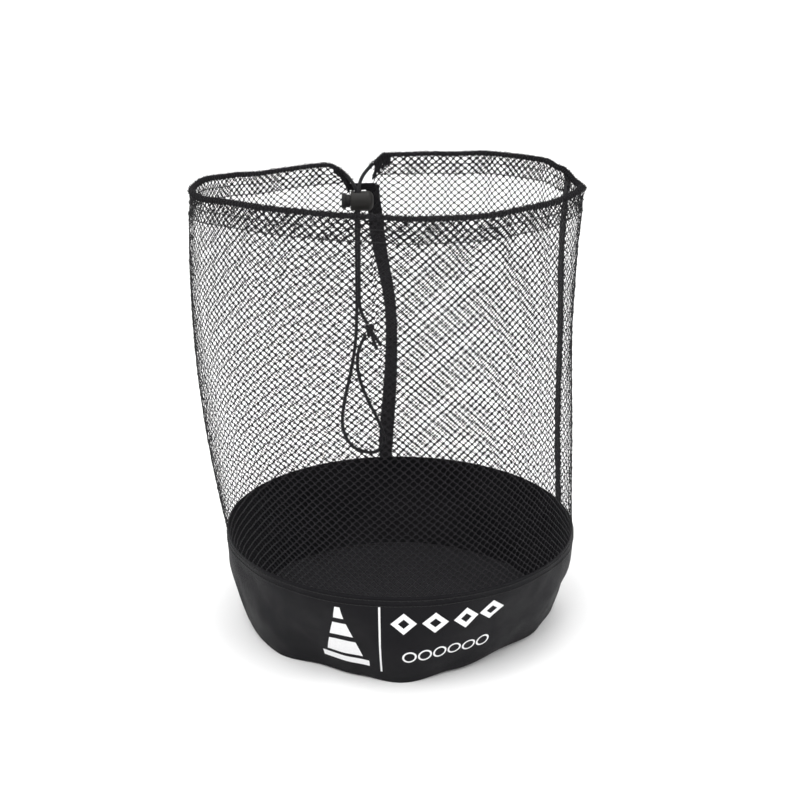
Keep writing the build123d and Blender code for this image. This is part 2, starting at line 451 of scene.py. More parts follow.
def ranged(tree, value, low, high, to_low, to_high):
    """A value mapped from low..high to to_low..to_high."""
    made = node(tree, "ShaderNodeMapRange")
    made.inputs["From Min"].default_value = low
    made.inputs["From Max"].default_value = high
    made.inputs["To Min"].default_value = to_low
    made.inputs["To Max"].default_value = to_high
    tree.links.new(value, made.inputs["Value"])
    return made.outputs[0]


def bump(tree, shader, height, distance, strength):
    made = node(tree, "ShaderNodeBump")
    made.inputs["Distance"].default_value = distance
    made.inputs["Strength"].default_value = strength
    tree.links.new(height, made.inputs["Height"])
    tree.links.new(made.outputs[0], shader.inputs["Normal"])


def weave_axes(tree):
    """The stored lengths along the cloth: both together, across and along."""
    source = node(tree, "ShaderNodeAttribute", attribute_name="weave")
    split = node(tree, "ShaderNodeSeparateXYZ")
    tree.links.new(source.outputs["Vector"], split.inputs[0])
    return source.outputs["Vector"], split.outputs[0], split.outputs[1]


def object_place(tree):
    return node(tree, "ShaderNodeTexCoord").outputs["Object"]


def plain_weave(tree, u, v):
    """Height of a fine grid of yarns."""
    return maths(tree, "MULTIPLY", waves(tree, u, WEAVE_PITCH), waves(tree, v, WEAVE_PITCH))


def coated_cloth(name, dark, light):
    """Black coated plain weave with a soft uneven sheen."""
    material, tree, shader = principled(
        name, dark, 0.6, Specular_IOR_Level=0.12, Sheen_Weight=0.015, Sheen_Roughness=0.4
    )
    place, u, v = weave_axes(tree)
    yarns = plain_weave(tree, u, v)
    cloud = noise_at(tree, place, 22, 5)
    tint(tree, shader, cloud, dark, light)
    tree.links.new(ranged(tree, cloud, 0.3, 0.7, 0.5, 0.72), shader.inputs["Roughness"])
    crease = noise_at(tree, place, 60, 4)
    bump(tree, shader, maths(tree, "ADD", yarns, maths(tree, "MULTIPLY", crease, 3.0)), 0.12 * MM, 0.7)
    return material


def net_yarn():
    """Matt black multifilament yarn, slightly lighter on its fibres."""
    material, tree, shader = principled(
        "net_yarn", (0.010, 0.0095, 0.0105), 0.8,
        Specular_IOR_Level=0.12, Sheen_Weight=0.04, Sheen_Roughness=0.5,
    )
    place = object_place(tree)
    tint(tree, shader, noise_at(tree, place, 900, 2), (0.0045, 0.0042, 0.005), (0.0145, 0.0135, 0.0160))
    bump(tree, shader, noise_at(tree, place, 2600, 2), 0.1 * MM, 0.6)
    return material


def braid():
    """Braided cord: two sets of yarns crossing on a slant, with painted shade in the grooves between them."""
    material, tree, shader = principled(
        "braid", (0.009, 0.009, 0.01), 0.7,
        Specular_IOR_Level=0.2, Sheen_Weight=0.05, Sheen_Roughness=0.45,
    )
    place, u, v = weave_axes(tree)
    one = waves(tree, maths(tree, "ADD", u, v), BRAID_YARN_PITCH)
    two = waves(tree, maths(tree, "SUBTRACT", u, v), BRAID_YARN_PITCH)
    yarns = maths(tree, "MAXIMUM", one, two)
    # Painted shade: the colour is darker in the grooves between the yarns and lighter on their crowns, following the
    # yarns' height.
    tint(tree, shader, ranged(tree, yarns, -1, 1, 0, 1), (0.004, 0.004, 0.005), (0.016, 0.016, 0.018))
    fibres = noise_at(tree, place, 3000, 2)
    bump(tree, shader, maths(tree, "ADD", yarns, fibres), 0.15 * MM, 0.8)
    return material


def webbing():
    """Black webbing: a slanted twill over ribs that run along it, with painted shade in the grooves between them."""
    material, tree, shader = principled(
        "webbing", (0.008, 0.008, 0.009), 0.72,
        Specular_IOR_Level=0.2, Sheen_Weight=0.05, Sheen_Roughness=0.45,
    )
    place, u, v = weave_axes(tree)
    slant = maths(tree, "ADD", maths(tree, "MULTIPLY", u, 1.3), v)
    twill = waves(tree, slant, TWILL_PITCH)
    ribs = waves(tree, u, RIB_PITCH)
    height = maths(tree, "ADD", twill, maths(tree, "MULTIPLY", ribs, 0.7))
    # Painted shade: the colour is darker in the grooves of the twill and ribs and lighter on their ridges, following
    # their height.
    tint(tree, shader, ranged(tree, height, -1.7, 1.7, 0, 1), (0.008, 0.0075, 0.009), (0.022, 0.021, 0.024))
    bump(tree, shader, maths(tree, "ADD", height, noise_at(tree, place, 2500, 2)), 0.16 * MM, 0.8)
    return material


def thread_yarn():
    """Twisted sewing thread."""
    material, tree, shader = principled(
        "thread_yarn", (0.012, 0.012, 0.013), 0.6,
        Specular_IOR_Level=0.3, Sheen_Weight=0.05, Sheen_Roughness=0.4,
    )
    place = object_place(tree)
    tint(tree, shader, noise_at(tree, place, 1500, 2), (0.004, 0.004, 0.0045), (0.012, 0.012, 0.013))
    bump(tree, shader, noise_at(tree, place, 4000, 1), 0.06 * MM, 0.5)
    return material


def moulded(name, dark, light, roughness):
    """Moulded plastic with a fine grain and rubbed patches."""
    material, tree, shader = principled(name, dark, roughness, Specular_IOR_Level=0.2)
    place = object_place(tree)
    rubbed = noise_at(tree, place, 140, 4)
    tint(tree, shader, rubbed, dark, light)
    worn = ranged(tree, rubbed, 0.3, 0.75, roughness - 0.1, roughness + 0.12)
    tree.links.new(worn, shader.inputs["Roughness"])
    bump(tree, shader, noise_at(tree, place, 2200, 3), 0.05 * MM, 0.5)
    return material


def print_ink():
    """White screen print, slightly uneven, with the weave showing through."""
    material, tree, shader = principled("print_ink", (0.82, 0.82, 0.82), 0.6)
    place, u, v = weave_axes(tree)
    tint(tree, shader, noise_at(tree, place, 700, 4), (0.66, 0.66, 0.67), (0.9, 0.9, 0.9))
    bump(tree, shader, plain_weave(tree, u, v), 0.08 * MM, 0.5)
    return material


def wire_steel():
    """Drawn steel wire, duller in places."""
    material, tree, shader = principled("wire_steel", (0.6, 0.6, 0.62), 0.35, Metallic=1.0)
    place = object_place(tree)
    dull = ranged(tree, noise_at(tree, place, 1200, 2), 0.3, 0.7, 0.25, 0.45)
    tree.links.new(dull, shader.inputs["Roughness"])
    return material


CLOTH = coated_cloth("band_cloth", (0.0028, 0.0026, 0.0036), (0.0072, 0.0068, 0.0088))
FLOOR_CLOTH = coated_cloth("floor_cloth", (0.0090, 0.0088, 0.0100), (0.0190, 0.0185, 0.0210))
YARN = net_yarn()
BRAID = braid()
WEBBING = webbing()
THREAD = thread_yarn()
LOCK_PLASTIC = moulded("lock_plastic", (0.010, 0.0095, 0.009), (0.018, 0.017, 0.0155), 0.5)
BUTTON_PLASTIC = moulded("button_plastic", (0.006, 0.006, 0.006), (0.012, 0.0115, 0.0115), 0.55)
INK = print_ink()
STEEL = wire_steel()


def dress(piece, material, slot, body, *nodes):
    """Material, slot, body and the CAD nodes that a piece stands for."""
    piece.data.materials.clear()
    piece.data.materials.append(material)
    if slot:
        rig.slot(piece, slot)
    if nodes:
        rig.replaces(piece, *nodes)
    if body:
        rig.ride(piece, body)
    return piece


# ---------------------------------------------------------------- drawstring

# The free cords' routes. Each runs straight down through the lock and over its whole slide.
LEFT_ROUTE = [
    (-0.0705, 0.1401, 0.4045),
    (-0.0635, 0.1425, 0.4023),
    (-0.0550, 0.1449, 0.3965),
    (-0.0480, 0.1445, 0.3900),
    (-0.0422, 0.1386, 0.3820),
    (-0.0422, 0.1386, 0.3770),
    (-0.0422, 0.1386, 0.2720),
    (-0.0422, 0.1386, 0.2640),
    (-0.0435, 0.1390, 0.2260),
    (-0.0490, 0.1400, 0.1930),
    (-0.0565, 0.1410, 0.1610),
    (-0.0595, 0.1420, 0.1330),
    (-0.0505, 0.1430, 0.1115),
    (-0.0345, 0.1435, 0.1035),
    (-0.0195, 0.1425, 0.1055),
    (-0.0135, 0.1405, 0.1195),
    (-0.0205, 0.1380, 0.1410),
    (-0.0300, 0.1360, 0.1605),
    (-0.0380, 0.1345, 0.1800),
    (-0.0425, 0.1335, 0.2000),
    (-0.0415, 0.1332, 0.2210),
    (-0.0335, 0.1346, 0.2345),
]
RIGHT_ROUTE = [
    (-0.0255, 0.1496, 0.4045),
    (-0.0320, 0.1470, 0.3985),
    (-0.0375, 0.1405, 0.3910),
    (-0.0398, 0.1344, 0.3820),
    (-0.0398, 0.1344, 0.3770),
    (-0.0398, 0.1344, 0.2760),
    (-0.0398, 0.1344, 0.2660),
    (-0.0370, 0.1348, 0.2550),
    (-0.0315, 0.1356, 0.2460),
]
CORD_STEP = 0.5 * MM
CORD_SIDES = 24
BRAID_YARNS = 12
BRAID_PITCH = 7.5 * MM
BRAID_DEPTH = 0.11 * MM


def cord_tube(name, line, body):
    """A braided cord along a line, with its yarns standing out of the surface."""
    path = resample(line, CORD_STEP)
    turn = np.linspace(0, 2 * math.pi, CORD_SIDES, endpoint=False)
    lay = 2 * math.pi * np.arange(len(path))[:, None] * CORD_STEP / BRAID_PITCH
    yarns = BRAID_YARNS / 2
    one = np.cos(yarns * turn[None] + yarns * lay)
    two = np.cos(yarns * turn[None] - yarns * lay)
    swell = CORD_R + BRAID_DEPTH * (np.maximum(one, two) - 0.5)
    points, faces, weave = tube_mesh(path, swell, CORD_SIDES)
    return dress(mesh_piece(name, points, faces, weave), BRAID, "cord", body), path


KNOT_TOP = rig.box("drawstring_knot")[1][2]
KNOT_CENTRE = np.array([RIGHT_ROUTE[-1][0] + 1.9 * MM, RIGHT_ROUTE[-1][1], KNOT_TOP - 5.7 * MM])
KNOT_SIZE = np.array([1.457, -1.75, 2.392]) * MM
KNOT_LOOP = 1.55
KNOT_CORD = 0.98
# The end of each of the knot's tails, and how far its middle sags
KNOT_TAILS = [((-0.0180, 0.1366, 0.2225), 1.5 * MM), ((-0.0222, 0.1332, 0.2192), -1.0 * MM)]


def knot_line():
    """An overhand knot: one loop passed through itself, drawn down tight."""
    t = np.linspace(0, 2 * math.pi, 160, endpoint=False)
    x = np.sin(t) + KNOT_LOOP * np.sin(2 * t)
    y = np.sin(3 * t)
    z = np.cos(t) - KNOT_LOOP * np.cos(2 * t)
    return np.stack([x, y, z], 1) * KNOT_SIZE + KNOT_CENTRE


SPRING_TURNS = 3.5
SPRING_WIRE_R = 0.35 * MM
SPRING_DRAWN_R = 0.95 * SPRING_WIRE_R
SPRING_SPARE = 0.96
BUTTON_TRAVEL = 4.2 * MM


def make_spring():
    """The coil behind the button, which shortens as the button is pressed."""
    low, high = node_box("lock_spring")
    middle = (low + high) / 2
    t = np.linspace(0, 1, 160)
    turn = 2 * math.pi * SPRING_TURNS * t
    coil_r = (high[2] - low[2]) / 2 - SPRING_WIRE_R
    x = low[0] + SPRING_WIRE_R + (high[0] - low[0] - 2 * SPRING_WIRE_R) * t
    line = np.stack([x, middle[1] + coil_r * np.cos(turn), middle[2] + coil_r * np.sin(turn)], 1)
    points, faces, weave = tube_mesh(line, SPRING_DRAWN_R, 8)
    coil = mesh_piece("lock_coil", points, faces, weave)
    dress(coil, STEEL, "spring_steel", "cord_lock", "lock_spring")
    keep = SPRING_SPARE * (1 - BUTTON_TRAVEL / (high[0] - low[0]))
    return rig.squash(coil, "button_press", axis=(1, 0, 0), anchor=(high[0], *middle[1:]), keep=keep)


LEFT_LINE = nurbs_line("left_line", LEFT_ROUTE)
RIGHT_LINE = nurbs_line("right_line", RIGHT_ROUTE)


def make_drawstring():
    """The two free cords, the knot that joins them with its tails, and the lock's coil on the left one."""
    cords = []
    for side, line in (("left", LEFT_LINE), ("right", RIGHT_LINE)):
        cord, path = cord_tube(f"drawstring_{side}_cord", line, "drawstring")
        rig.replaces(cord, f"drawstring_{side}")
        cords.append((cord, path))

    points, faces, weave = tube_mesh(knot_line(), CORD_R * KNOT_CORD, 16, closed=True)
    knot = mesh_piece("overhand_knot", points, faces, weave)
    dress(knot, BRAID, "cord", "drawstring", "drawstring_knot")
    tails = []
    for i, (end, sag) in enumerate(KNOT_TAILS):
        start = KNOT_CENTRE + np.array([1.5, 0.4 - i, -2.0]) * MM
        middle = (start + np.array(end)) / 2 + np.array([sag, 0, -sag])
        line = nurbs_line(f"tail_line_{i}", [tuple(start), tuple(middle), end])
        tails.append(cord_tube(f"knot_tail_{i}", line, "drawstring")[0])

    lock = [frame["nodes"]["lock_body"], frame["nodes"]["lock_button"], make_spring()]
    routes, on_cords = (LEFT_ROUTE, RIGHT_ROUTE), ([knot, *tails, *lock], [knot])
    for (cord, path), route, pieces in zip(cords, routes, on_cords):
        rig.cord(
            cord, exit=route[0], length=float(lengths(path)[-1]), diameter=2 * CORD_R, far_end="knot",
            stiffness="limp", lay="hanging", path=path, with_pieces=pieces,
        )


make_drawstring()

# ---------------------------------------------------------------- shape of the net

# The net's outline at three heights: (height, centre in x, half width, half depth)
WALL_LEVELS = [
    (BAND_Z, 0.0, BAND_R - 0.8 * MM, BAND_R - 0.8 * MM),
    (0.270, -0.0165, 0.1700, 0.155),
    (RIM_Z - HEM_DEPTH, MOUTH_X - 1.5 * MM, MOUTH_A - 0.7 * MM, MOUTH_B),
]
GAP_X = (-0.0455, -0.0255)
GAP_EDGE_Z = 0.3840

# How far the rim lies above its CAD height round the mouth: (degrees from +X, metres)
RIM_WAVE = [
    (0, 0.0020), (8, 0.0025), (21, 0.0095), (31, 0.0135), (43, 0.0135), (55, 0.0135), (70, 0.0105),
    (90, 0.0085), (110.1, 0.0), (135, -0.0030), (150, -0.0005), (165, 0.0020), (180, 0.0010),
    (200, 0.0020), (225, 0.0055), (245, 0.0050), (262, 0.0035), (280, 0.0012), (295, 0.0008),
    (315, 0.0035), (342, 0.0065),
]
# The stretch of the left cord that the hem's left end lies along
LEFT_SAG = LEFT_LINE[: int(np.argmax(LEFT_LINE[:, 0] > GAP_X[0])) + 2]
RIGHT_DROOP = 0.007
RIGHT_DROOP_X = (GAP_X[1], -0.014)
# Soft waves of the wall, in millimetres, as ripples() takes them
WALL_GIVE = [(2.2, 3, 2.0, 0.6), (1.3, 5, -4.0, 1.9), (0.8, 9, 9.0, 0.0)]


def level(z):
    """Centre and half axes of the net at height z: the parabola through the three levels."""
    z0, z1, z2 = (row[0] for row in WALL_LEVELS)
    z = np.clip(z, z0, z2 + HEM_DEPTH)
    w0 = (z - z1) * (z - z2) / ((z0 - z1) * (z0 - z2))
    w1 = (z - z0) * (z - z2) / ((z1 - z0) * (z1 - z2))
    w2 = (z - z0) * (z - z1) / ((z2 - z0) * (z2 - z1))
    return [w0 * a + w1 * b + w2 * c for a, b, c in zip(*(row[1:] for row in WALL_LEVELS))]


def rim_wave(theta):
    """Height of the rim above its CAD height."""
    return periodic(theta, RIM_WAVE)[..., 0]


def rim_droop(theta):
    """How far the hem's ends sag beside the rear gap: the left one down to the left cord."""
    x = MOUTH_X + MOUTH_A * np.cos(theta)
    middle = (GAP_X[0] + GAP_X[1]) / 2
    sag = RIM_Z + rim_wave(theta) - np.interp(x, LEFT_SAG[:, 0], LEFT_SAG[:, 2])
    left = sag * (x > LEFT_SAG[0, 0]) * (x < middle)
    right = RIGHT_DROOP * (1 - smooth_step(*RIGHT_DROOP_X, x)) * (x > middle)
    return (left + right) * (np.sin(theta) > 0)


def hem_z(theta, rise=0.0):
    """Height of a place on the hem that lies rise above the rim's line, where the hem isn't pressed."""
    droop = rim_droop(theta)
    pressed = rise * np.where(np.asarray(rise) < 0, 1 - droop / HEM_DEPTH, 1.0)
    return RIM_Z + rim_wave(theta) - droop + pressed


def wall_point(theta, z, out=0.0):
    """A point of the net's surface, moved outwards by out; the cloth gives softly here and there."""
    centre, a, b = level(z)
    up = np.clip((z - BAND_Z) / (RIM_Z - BAND_Z), 0, 1)
    free = np.sin(math.pi * np.clip(up, 0, 1)) ** 0.8
    bulge = out + free * ripples(WALL_GIVE, theta, up) * MM
    x = centre + (a + bulge) * np.cos(theta)
    y = (b + bulge) * np.sin(theta)
    return np.stack(np.broadcast_arrays(x, y, z), -1)


def in_gap(theta):
    """Whether an angle is in the rear gap, where the net has no hem."""
    x = MOUTH_X + MOUTH_A * np.cos(theta)
    return (np.sin(theta) > 0) & (x > GAP_X[0]) & (x < GAP_X[1])


# ---------------------------------------------------------------- net

NET_COLUMNS = 288
NET_ROW = 3.2 * MM
NET_FOOT_Z = BAND_Z - 4 * MM
WALL_ROWS = 92
NET_TILT = 0.06
NET_JITTER = 0.22 * MM
NET_PANELS = 8
NET_GIRTH = math.pi * (MOUTH_A + MOUTH_B + 2 * BAND_R) / 2
# How the net crowds sideways towards the hem, in radians, as ripples() takes them
GATHERS = [(0.0075, 17, 0.0, 1.0), (0.0055, 29, 0.0, 2.0), (0.003, 47, 0.0, 0.0)]
GATHER_CLEAR = 0.03

YARN_R = 0.30 * MM
KNOT_YARN_R = 0.74 * MM
HEM_YARN = 1.05
YARN_FLAT = 0.45
YARN_SIDES = 4

LEG_OUT = 0.7 * MM
LEG_IN = -0.7 * MM
FOLD_R = CORD_R + 0.3 * MM
FOLD_DEGREES = (38, 90, 142)
SHOULDER = 1.2 * MM
SWELL_DEPTH = 9 * MM


def hem_profile():
    """(offset outwards, height above the rim line) for each row of net from the hem's foot, up its
    outer face, over the cord and down its inner face."""
    rows = []
    legs = int(round((HEM_DEPTH - SHOULDER) / NET_ROW))
    for k in range(legs + 1):
        down = -HEM_DEPTH + k * (HEM_DEPTH - SHOULDER) / legs
        swell = smooth_step(-SWELL_DEPTH, -1 * MM, down)
        rows.append((LEG_OUT + (FOLD_R - LEG_OUT) * swell, down))
    for degrees in FOLD_DEGREES:
        a = math.radians(degrees)
        rows.append((FOLD_R * math.cos(a), FOLD_R * math.sin(a)))
    for k in range(legs + 1):
        down = -SHOULDER - k * (HEM_DEPTH - SHOULDER - 1 * MM) / legs
        swell = smooth_step(-SWELL_DEPTH, -1 * MM, down)
        rows.append((LEG_IN - (FOLD_R + LEG_IN) * swell, down))
    return rows


def net_points():
    """Rows by columns of net crossings, and whether each one is there."""
    theta = np.linspace(0, 2 * math.pi, NET_COLUMNS, endpoint=False)
    hem_theta = theta + NET_TILT
    gap = in_gap(hem_theta)
    foot = np.where(gap, GAP_EDGE_Z, hem_z(hem_theta, -HEM_DEPTH))
    from_gap = MOUTH_X + MOUTH_A * np.cos(hem_theta) - GAP_X[0]
    gather = ripples(GATHERS, theta, 0) * (1 - np.exp(-((from_gap / GATHER_CLEAR) ** 2)))
    rows, there = [], []
    for j in range(WALL_ROWS):
        t = j / WALL_ROWS
        z = NET_FOOT_Z + (foot - NET_FOOT_Z) * t
        sway = 0.004 * np.sin(6 * theta + 9 * t) * (1 - t)
        turn = theta + NET_TILT * t + sway + gather * smooth_step(0.75, 1, t)
        rows.append(wall_point(turn, z, LEG_OUT * smooth_step(0.9, 1.0, t)))
        there.append(np.ones(NET_COLUMNS, bool))
    profile = hem_profile()
    for k, (offset, rise) in enumerate(profile):
        z = np.where(gap, GAP_EDGE_Z, hem_z(hem_theta, rise))
        inside = smooth_step(0.4, 1, k / len(profile))
        turn = hem_theta + gather * (1 - 1.6 * inside) + 0.006 * inside * np.sin(11 * theta)
        rows.append(wall_point(np.where(gap, hem_theta, turn), z, offset))
        there.append(~gap)
    points = np.array(rows)
    jitter = np.random.default_rng(7).normal(0, NET_JITTER, points.shape)
    jitter[:2] = 0
    return points + jitter, np.array(there)


def strands(p, q, out, r_end, r_mid):
    """Yarns between crossings p and q, thick at the crossings and thin between."""
    along = unit(q - p)
    side = unit(np.cross(along, out))
    face = np.cross(side, along) * YARN_FLAT
    turn = np.linspace(0, 2 * math.pi, YARN_SIDES, endpoint=False)
    rings = []
    for place, r in ((p, r_end), ((p + q) / 2, r_mid), (q, r_end)):
        ring = side[:, None] * np.cos(turn)[None, :, None] + face[:, None] * np.sin(turn)[None, :, None]
        rings.append(place[:, None] + ring * r)
    points = np.stack(rings, 1).reshape(-1, 3)
    one = grid_faces(3, YARN_SIDES, wrap_columns=True)
    faces = (one[None] + (np.arange(len(p)) * 3 * YARN_SIDES)[:, None, None]).reshape(-1, 4)
    return points, faces


def foot_z(panel):
    """Mean height of the hem's foot over one panel of net."""
    theta = (panel + np.linspace(0, 1, 30)) * 2 * math.pi / NET_PANELS
    return hem_z(theta, -HEM_DEPTH).mean()


def yarn_ends(panel, low, high, there):
    """Each yarn of one panel between two rows, as the (row, column, row, column) that it joins."""
    width = NET_COLUMNS // NET_PANELS
    ends = []
    for j in range(low, high):
        for i in range(panel * width, (panel + 1) * width):
            if (i + j) % 2:
                continue
            for step in (-1, 1):
                k = (i + step) % NET_COLUMNS
                if there[j, i] and there[j + 1, k]:
                    ends.append((j, i, j + 1, k))
    return np.array(ends)


def make_net():
    """The open net of knotted yarns, in eight panels of wall and eight of hem."""
    points, there = net_points()
    grid_out = unit(np.cross(np.roll(points, -1, 1) - np.roll(points, 1, 1), np.gradient(points, axis=0)))
    parts = (
        ("wall", "net_wall", 0, WALL_ROWS, 1.0),
        ("hem", "mouth_hem", WALL_ROWS, len(points) - 1, HEM_YARN),
    )
    for panel in range(NET_PANELS):
        for part, node_name, low, high, stout in parts:
            ends = yarn_ends(panel, low, high, there)
            p = points[ends[:, 0], ends[:, 1]]
            q = points[ends[:, 2], ends[:, 3]]
            out = grid_out[ends[:, 0], ends[:, 1]]
            vertices, faces = strands(p, q, out, KNOT_YARN_R * stout, YARN_R * stout)
            piece = mesh_piece(f"net_{part}_{panel + 1}", vertices, faces.tolist())
            dress(piece, YARN, "net", "bag", node_name)
            if part == "wall":
                flat = (NET_GIRTH / NET_PANELS, float(foot_z(panel) - NET_FOOT_Z))
                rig.sheet(piece, flat=flat, held="hung", rests_on=["base_band", "mouth_hem"])


make_net()

# ---------------------------------------------------------------- rim, hem stitches and the gap

WRAP_STEP = 1.75 * MM
WRAP_LEAN = 1.6 * MM
SLEEVE_LOOPS = 4
RIM_HAIRS = 2600
BUNCH_FOLDS = 16
BUNCH_R = 1.15 * MM
# The net's doubled edge across the gap: (distance below its top, radius), in millimetres
GAP_EDGE_ROLLS = [(0, 1.5), (2.2, 1.3), (4.2, 1.2)]


def rim_line(out=0.0, rise=0.0, end=GAP_X[0]):
    """The rim's line from the right of the rear gap clockwise to its left."""
    a0 = math.acos((GAP_X[1] - MOUTH_X) / MOUTH_A)
    a1 = math.acos((end - MOUTH_X) / MOUTH_A) - 2 * math.pi
    theta = np.linspace(a0, a1, 1400)
    return wall_point(theta, hem_z(theta, rise), out)


def wrap_loops(line, along, out, up, rng):
    """Loops of net yarn drawn tight over the cord, every other one proud of its neighbours."""
    for i in range(1, len(line) - 1):
        proud = i % 2
        lean = WRAP_LEAN if proud else -WRAP_LEAN
        r = FOLD_R + (rng.uniform(-0.15, 0.2) + 0.35 * proud) * MM
        arc = []
        for degrees in range(-60, 241, 30):
            a = math.radians(degrees)
            slide = lean * (degrees - 90) / 150
            arc.append(line[i] + out[i] * r * math.cos(a) + up[i] * r * math.sin(a) + along[i] * slide)
        yield tube_mesh(arc, (rng.uniform(0.30, 0.42) + 0.16 * proud) * MM, 5, up=tuple(along[i]))


def wrap_hairs(line, along, out, up, rng):
    """Short loose ends of yarn that stand out of the rim."""
    for i in rng.integers(1, len(line) - 1, RIM_HAIRS):
        a = rng.uniform(-0.6, math.pi + 0.6)
        root = out[i] * math.cos(a) + up[i] * math.sin(a)
        tip = unit(root + along[i] * rng.uniform(-1.2, 1.2))
        start = line[i] + root * FOLD_R
        bend = rng.normal(0, 0.25 * MM, 3)
        knee = start + root * 0.8 * MM
        hair = [start, knee + bend, knee + tip * rng.uniform(0.4, 1.3) * MM]
        yield tube_mesh(hair, rng.uniform(0.12, 0.22) * MM, 4)


def make_rim():
    """The cord in the hem's tunnel and the net drawn over it, with a short sleeve on the right cord."""
    cord, _ = cord_tube("drawstring_hem_cord", rim_line(end=LEFT_ROUTE[0][0]), "bag")
    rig.replaces(cord, "drawstring_in_hem")

    sleeve = resample(RIGHT_LINE, WRAP_STEP)[1:SLEEVE_LOOPS]
    line = np.concatenate([sleeve[::-1], resample(rim_line(), WRAP_STEP)])
    along = unit(np.gradient(line, axis=0))
    out = unit(np.cross(along, (0, 0, 1)))
    place = (line, along, out, np.cross(out, along), np.random.default_rng(11))
    wrap = mesh_piece("rim_wrap", *joined([*wrap_loops(*place), *wrap_hairs(*place)]))
    dress(wrap, YARN, "net", "bag")


make_rim()


def outwards(points):
    """Level directions out of the bag."""
    flat = np.array(points) - np.array([MOUTH_X / 2, 0, 0])
    flat[:, 2] = 0
    return unit(flat)


STITCH_RISE = np.array([-0.5, 0.5, 0.9, 0.9, 0.5, -0.5])
# Stitches: (length, gap, radius of the thread)
HEM_STITCH = (3.0 * MM, 0.8 * MM, 0.42 * MM)
BAND_STITCH = (3.2 * MM, 0.9 * MM, 0.34 * MM)


def stitch_row(name, line, stitch, nodes):
    """A row of lock stitches: short raised threads that dip into the cloth at both ends."""
    length, gap, radius = stitch
    count = len(STITCH_RISE)
    line = resample(line, (length + gap) / count)
    stitches = []
    for start in range(0, len(line) - count, count):
        run = line[start : start + count]
        stitches.append(tube_mesh(run + outwards(run) * STITCH_RISE[:, None] * radius, radius, 6))
    dress(mesh_piece(name, *joined(stitches)), THREAD, "thread", "bag", *nodes)


def make_hem_stitching():
    """The row that closes the cord's tunnel and the row along the hem's foot."""
    rows = (("hem_stitches", -9.5 * MM, ["hem_stitching"]), ("hem_foot_stitches", 1.5 * MM - HEM_DEPTH, []))
    for name, rise, nodes in rows:
        stitch_row(name, rim_line(1.1 * MM, rise), HEM_STITCH, nodes)


make_hem_stitching()


def make_gap_edge():
    """The doubled edge of the net across the rear gap."""
    a0 = math.acos((GAP_X[0] - 3 * MM - MOUTH_X) / MOUTH_A)
    a1 = math.acos((GAP_X[1] + 3 * MM - MOUTH_X) / MOUTH_A)
    theta = np.linspace(a0, a1, 40)
    uneven = np.random.default_rng(3).normal(0, 0.12 * MM, (len(theta), 3))
    rolls = []
    for drop, r in GAP_EDGE_ROLLS:
        line = wall_point(theta, np.full(len(theta), GAP_EDGE_Z - drop * MM), 0.4 * MM)
        rolls.append(tube_mesh(line + uneven, r * MM, 8))
    dress(mesh_piece("gap_edge", *joined(rolls)), YARN, "net", "bag")


make_gap_edge()


def hem_bunch(name, x, side, depth, spread, seed):
    """Folds of net crumpled together at an end of the hem; side is 1 when the hem runs to +X."""
    rng = np.random.default_rng(seed)
    down = np.linspace(0, 1, 9)
    folds = []
    for k in range(BUNCH_FOLDS):
        behind = k % 2
        theta = math.acos((x + side * spread * (k / BUNCH_FOLDS) ** 1.3 - MOUTH_X) / MOUTH_A)
        top = float(hem_z(np.array(theta))) + rng.uniform(-0.5, 2.2) * MM
        drop = depth * (1 - 0.55 * k / BUNCH_FOLDS) * rng.uniform(0.75, 1.1)
        wander = np.cumsum(rng.normal(0, 0.30 * MM, (len(down), 2)), 0)
        turn = theta - side * 1.5 * MM * np.sin(math.pi * down) / MOUTH_A + wander[:, 0] / MOUTH_A
        out = FOLD_R + 0.4 * MM + wander[:, 1] - (FOLD_R + 1.2 * MM) * behind
        out = out - (2 * behind - 1) * FOLD_R * down**2 * 0.6
        line = resample(wall_point(turn, top - drop * down, out), 0.7 * MM)
        thick = BUNCH_R * rng.uniform(0.75, 1.2) * (1 + 0.28 * rng.normal(0, 1, (len(line), 6)).clip(-1, 1))
        folds.append(tube_mesh(line, thick, 6))
    dress(mesh_piece(name, *joined(folds)), YARN, "net", "bag")


hem_bunch("hem_bunch_right", GAP_X[1] + 0.5 * MM, 1, 19 * MM, 16 * MM, 21)
hem_bunch("hem_bunch_left", GAP_X[0] - 1.5 * MM, -1, 12 * MM, 15 * MM, 22)

# ---------------------------------------------------------------- base

# The base's lower edge: (degrees from +X, radius, height) where the cloth kinks
BOTTOM_EDGE = [
    (6, 0.1500, 0.001), (-22, 0.1385, 0.004), (-47, 0.1300, 0.006), (-70, 0.1335, 0.003),
    (-90, 0.1425, 0.0), (-105, 0.1370, 0.002), (-121, 0.1335, 0.002), (-140, 0.1430, 0.0),
    (-160, 0.1440, 0.001), (-175, 0.1460, 0.0), (150, 0.1400, 0.003), (120, 0.1420, 0.0),
    (90, 0.1390, 0.002), (60, 0.1430, 0.0), (32, 0.1410, 0.002),
]
BAND_COLUMNS = 540
BAND_ROWS = 60
BAND_CLOTH = 1.2 * MM
BAND_BELLY = 1.65
BAND_FLAT_HEIGHT = 0.102
BAND_JOIN_ANGLE = math.radians(16)
# Soft folds of the band, in millimetres, as ripples() takes them
BAND_FOLDS = [(1.6, 4, 3.0, 0.0), (1.2, 7, -5.0, 1.3), (0.7, 13, 8.0, 0.0)]


